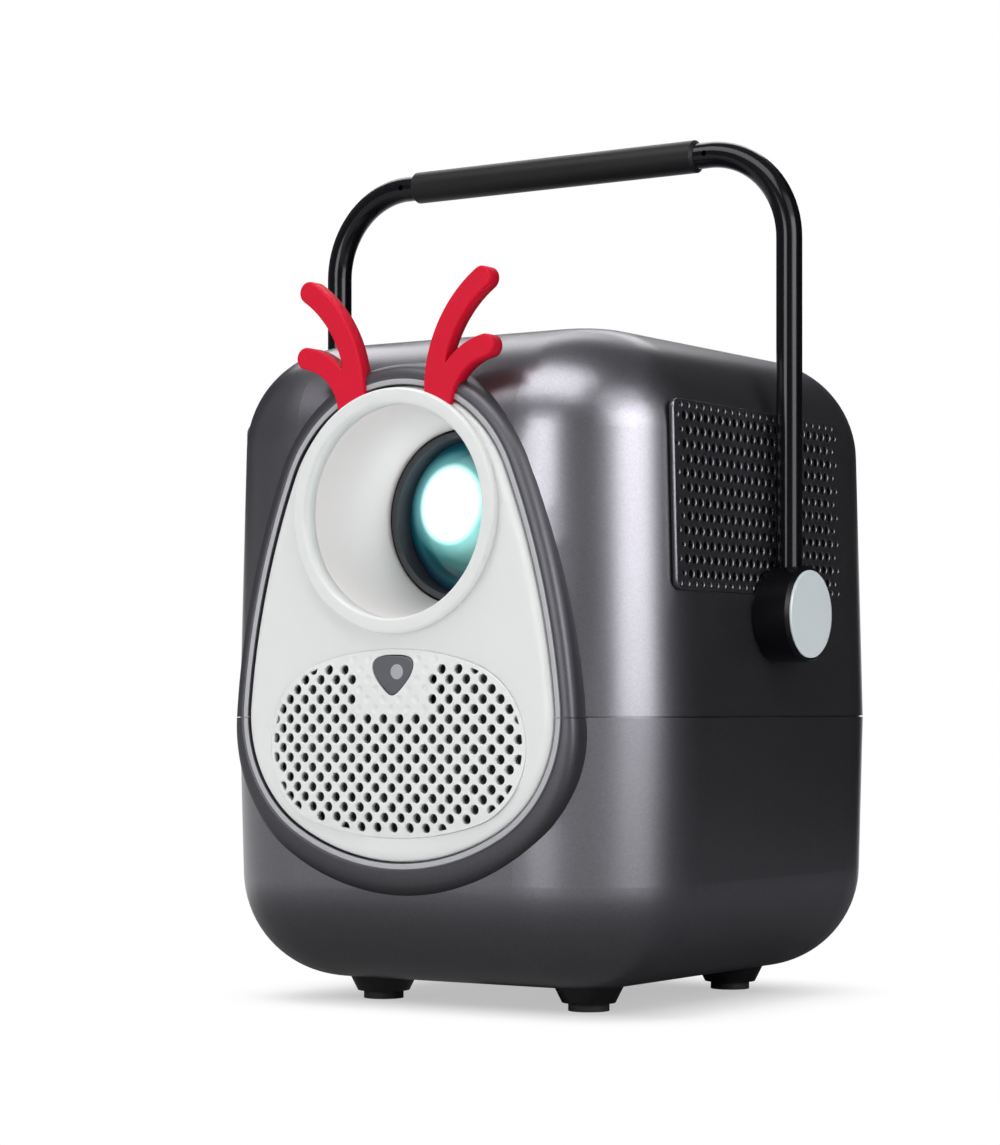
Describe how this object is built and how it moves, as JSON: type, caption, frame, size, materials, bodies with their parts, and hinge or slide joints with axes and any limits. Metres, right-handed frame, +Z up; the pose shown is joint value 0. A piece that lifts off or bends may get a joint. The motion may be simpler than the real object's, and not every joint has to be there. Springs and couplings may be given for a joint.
{
  "type": "projector with disc player",
  "caption": "Portable projector with a rounded upright body, front lens in a plate with a speaker grille, antler trim, a swinging tube handle, four feet and a disc tray in its side.",
  "frame": {"origin": "middle of the footprint of the whole object, at the height of the rubber pads' undersides", "axes": "+X to the right side of a viewer who faces the lens, -Y towards that viewer, the way the lens points, +Z up"},
  "size_m": [0.1862, 0.1812, 0.2691],
  "materials": {
    "shell": "satin metallic gunmetal paint",
    "vent": "satin, painted as the shell",
    "plate": "smooth white, soft gloss",
    "grille": "smooth white, perforated",
    "window": "grey, infra-red clear",
    "sensor": "black epoxy",
    "ring": "smooth white, soft gloss",
    "funnel": "satin pale grey",
    "antler": "red silicone, satin",
    "tube": "black, glossy powder coat",
    "grip": "black, matt",
    "hub": "black, satin",
    "hub_cap": "pale blue-grey, satin",
    "steel": "turned steel",
    "sheet": "zinc-plated sheet",
    "brass": "turned",
    "foot": "black, satin",
    "pad": "black, matt",
    "barrel": "black, satin",
    "glass": "coated, polished",
    "black": "black, matt",
    "aluminium": "extruded",
    "speaker": "black cone and frame",
    "tray": "black, satin",
    "board": "green solder mask",
    "key": "silver, satin"
  },
  "bodies": {
    "case": {"upper_shell": "shell", "lower_shell": "shell", "front_plate": "plate", "speaker_grille": "grille", "ir_window": "window", "ir_sensor": "sensor", "lens_ring": "ring", "lens_funnel": "funnel", "antler_left": "antler", "antler_right": "antler", "side_vent_left": "vent", "side_vent_right": "vent", "pivot_bushings": "brass", "feet": "foot", "foot_pads": "pad", "tripod_insert": "brass", "case_screws": "steel", "lens_guide_rods": "steel", "focus_axle": "steel", "engine_housing": "black", "lcd_panel": "glass", "fresnel_lens": "glass", "condenser_lens": "glass", "led_module": "aluminium", "heat_sink": "aluminium", "fan_frame": "black", "speaker_left": "speaker", "speaker_right": "speaker", "drive_case": "sheet", "chassis_plate": "sheet", "main_board": "board", "power_board": "board", "usb_port": "sheet", "hdmi_port": "sheet", "audio_jack": "black", "ac_inlet": "black", "key_board": "board"},
    "handle": {"handle_tube": "tube", "handle_grip": "grip", "hub_left": "hub", "hub_right": "hub", "hub_cap_left": "hub_cap", "hub_cap_right": "hub_cap", "pivot_pins": "steel"},
    "lens_carriage": {"lens_barrel": "barrel", "front_lens": "glass"},
    "focus_thumbwheel": {"focus_wheel": "black"},
    "fan": {"fan_rotor": "black"},
    "tray": {"disc_tray": "tray", "tray_bezel": "shell", "spindle_motor": "steel", "sled_rods": "steel"},
    "slide_rails": {"tray_rails": "steel"},
    "spindle": {"spindle_hub": "tray"},
    "laser_carriage": {"laser_sled": "aluminium"},
    "traverse_screw": {"lead_screw": "steel"},
    "eject_key": {"eject_button": "key"},
    "power_key": {"power_button": "key"},
    "source_key": {"source_button": "key"},
    "volume_key": {"volume_rocker": "key"}
  },
  "joints": [
    {"name": "handle_swing", "type": "hinge", "parent": "case", "child": "handle", "pos_m": [0, 0, 0.1205], "axis": [1, 0, 0], "range_deg": [-120, 120]},
    {"name": "lens_focus", "type": "slide", "parent": "case", "child": "lens_carriage", "axis": [0, 1, 0], "range_m": [-0.004, 0.004]},
    {"name": "focus_turn", "type": "hinge", "parent": "case", "child": "focus_thumbwheel", "pos_m": [0.0065, -0.0226, 0.194], "axis": [1, 0, 0], "range_deg": [-40, 40]},
    {"name": "fan_spin", "type": "hinge", "parent": "case", "child": "fan", "pos_m": [0.0656, 0.02185, 0.1545], "axis": [1, 0, 0], "continuous": true},
    {"name": "tray_slide", "type": "slide", "parent": "case", "child": "tray", "axis": [-1, 0, 0], "range_m": [0, 0.122]},
    {"name": "rails_slide", "type": "slide", "parent": "case", "child": "slide_rails", "axis": [-1, 0, 0], "range_m": [0, 0.061]},
    {"name": "spindle_spin", "type": "hinge", "parent": "tray", "child": "spindle", "pos_m": [-0.0116, 0.00185, 0.0425], "axis": [0, 0, 1], "continuous": true},
    {"name": "laser_travel", "type": "slide", "parent": "tray", "child": "laser_carriage", "axis": [0.7071, 0.7071, 0], "range_m": [0, 0.0335]},
    {"name": "traverse_screw_turn", "type": "hinge", "parent": "tray", "child": "traverse_screw", "pos_m": [0.01421, 0.01847, 0.039], "axis": [0.7071, 0.7071, 0], "range_deg": [-3016, 0]},
    {"name": "eject_press", "type": "slide", "parent": "tray", "child": "eject_key", "axis": [1, 0, 0], "range_m": [0, 0.0006], "stiffness_N_per_m": 400, "springref_m": -0.0004},
    {"name": "power_press", "type": "slide", "parent": "case", "child": "power_key", "axis": [0, 0, -1], "range_m": [0, 0.0006], "stiffness_N_per_m": 500, "springref_m": -0.0005},
    {"name": "source_press", "type": "slide", "parent": "case", "child": "source_key", "axis": [0, 0, -1], "range_m": [0, 0.0006], "stiffness_N_per_m": 500, "springref_m": -0.0005},
    {"name": "volume_tip", "type": "hinge", "parent": "case", "child": "volume_key", "pos_m": [0.024, 0.03185, 0.201], "axis": [1, 0, 0], "range_deg": [-3, 3], "stiffness_Nm_per_rad": 0.05}
  ],
  "couplings": [
    {"joint": "focus_turn", "follows": "lens_focus", "rad_per_m": 166.67},
    {"joint": "rails_slide", "follows": "tray_slide", "ratio": 0.5},
    {"joint": "traverse_screw_turn", "follows": "laser_travel", "rad_per_m": -1570.8}
  ]
}
